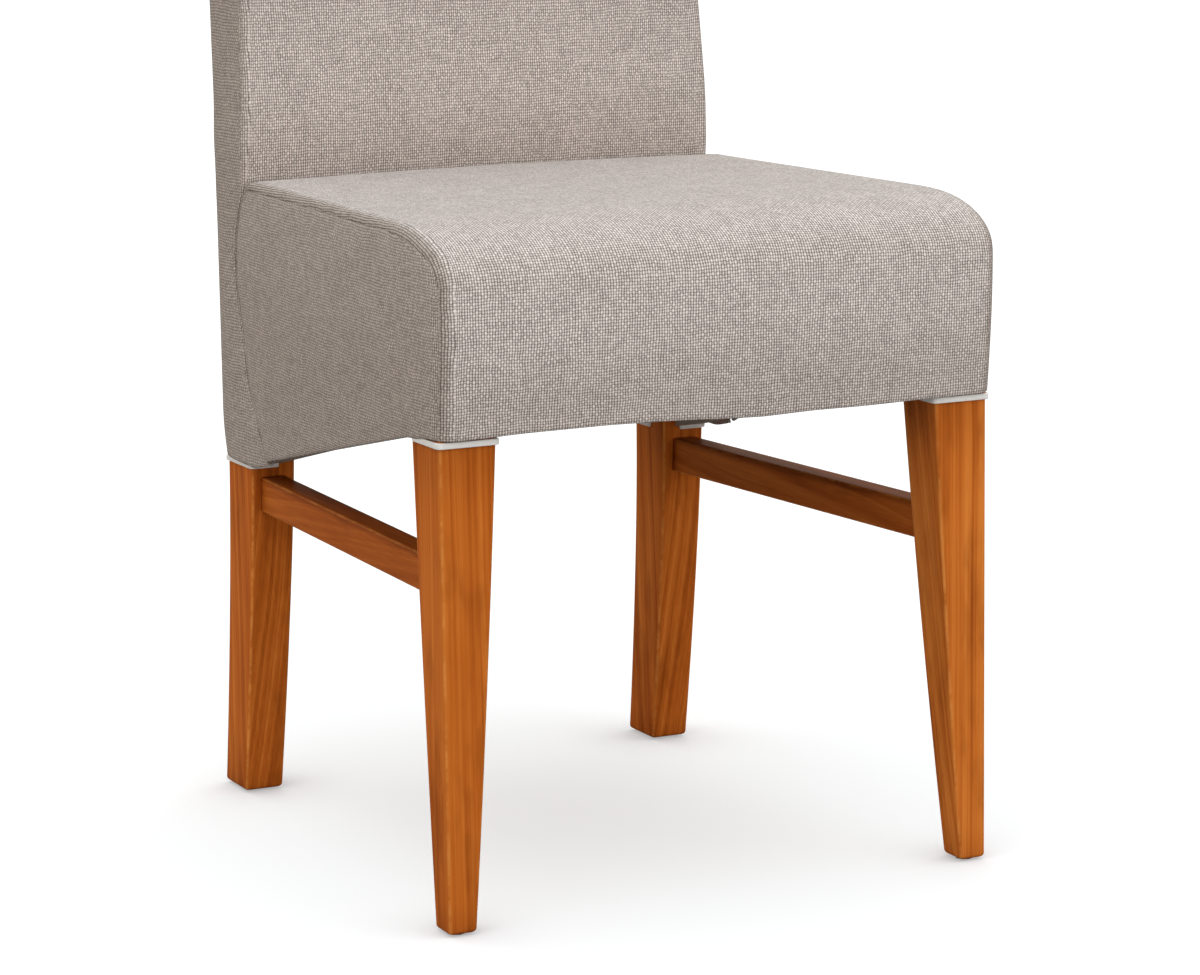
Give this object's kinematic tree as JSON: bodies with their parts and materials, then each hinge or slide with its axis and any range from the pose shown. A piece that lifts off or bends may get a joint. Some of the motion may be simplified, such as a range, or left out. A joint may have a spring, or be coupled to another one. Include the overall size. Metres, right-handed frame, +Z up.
{
  "type": "parsons chair",
  "caption": "Dining chair with a padded, fabric-covered seat and tall raked back on tapered wooden legs joined by side stretchers.",
  "frame": {"origin": "middle of the chair's outer box, on the floor", "axes": "+Z up, +Y towards the rear of the chair, +X towards the right of someone who faces its front"},
  "size_m": [0.4414, 0.5562, 0.975],
  "materials": {
    "stained_wood": "warm brown stained hardwood, satin",
    "frame_wood": "plain sawn softwood, hidden",
    "cover_fabric": "grey-beige plain weave, matt",
    "foam": "cut polyurethane foam, hidden",
    "webbing": "woven elastic webbing, hidden",
    "white_tape": "white woven tape",
    "dust_cloth": "thin black cloth, matt",
    "screw_steel": "zinc plated, hidden",
    "glide_nylon": "brown nylon"
  },
  "bodies": {
    "root": {"front_leg_left": "stained_wood", "front_leg_right": "stained_wood", "rear_leg_left": "stained_wood", "rear_leg_right": "stained_wood", "side_stretcher_left": "stained_wood", "side_stretcher_right": "stained_wood", "front_rail": "frame_wood", "rear_rail": "frame_wood", "rear_tacking_rail": "frame_wood", "side_rail_left": "frame_wood", "side_rail_right": "frame_wood", "back_lower_rail": "frame_wood", "back_top_rail": "frame_wood", "corner_block_front_left": "frame_wood", "corner_block_front_right": "frame_wood", "corner_block_rear_left": "frame_wood", "corner_block_rear_right": "frame_wood", "corner_screw_front_left_lower": "screw_steel", "corner_screw_front_left_upper": "screw_steel", "corner_screw_front_right_lower": "screw_steel", "corner_screw_front_right_upper": "screw_steel", "corner_screw_rear_left_lower": "screw_steel", "corner_screw_rear_left_upper": "screw_steel", "corner_screw_rear_right_lower": "screw_steel", "corner_screw_rear_right_upper": "screw_steel", "foot_glide_front_left": "glide_nylon", "foot_glide_front_right": "glide_nylon", "foot_glide_rear_left": "glide_nylon", "foot_glide_rear_right": "glide_nylon", "leg_tape_front_left": "white_tape", "leg_tape_front_right": "white_tape", "leg_tape_rear_left": "white_tape", "leg_tape_rear_right": "white_tape", "seat_strap_long_1": "webbing", "seat_strap_long_2": "webbing", "seat_strap_long_3": "webbing", "seat_strap_cross_1": "webbing", "seat_strap_cross_2": "webbing", "seat_strap_cross_3": "webbing", "seat_strap_cross_4": "webbing", "back_strap_1": "webbing", "back_strap_2": "webbing", "back_strap_3": "webbing", "back_strap_4": "webbing", "seat_pad": "foam", "back_pad": "foam", "rear_wadding": "foam", "seat_cover": "cover_fabric", "back_cover": "cover_fabric", "dust_cover": "dust_cloth"}
  },
  "joints": []
}
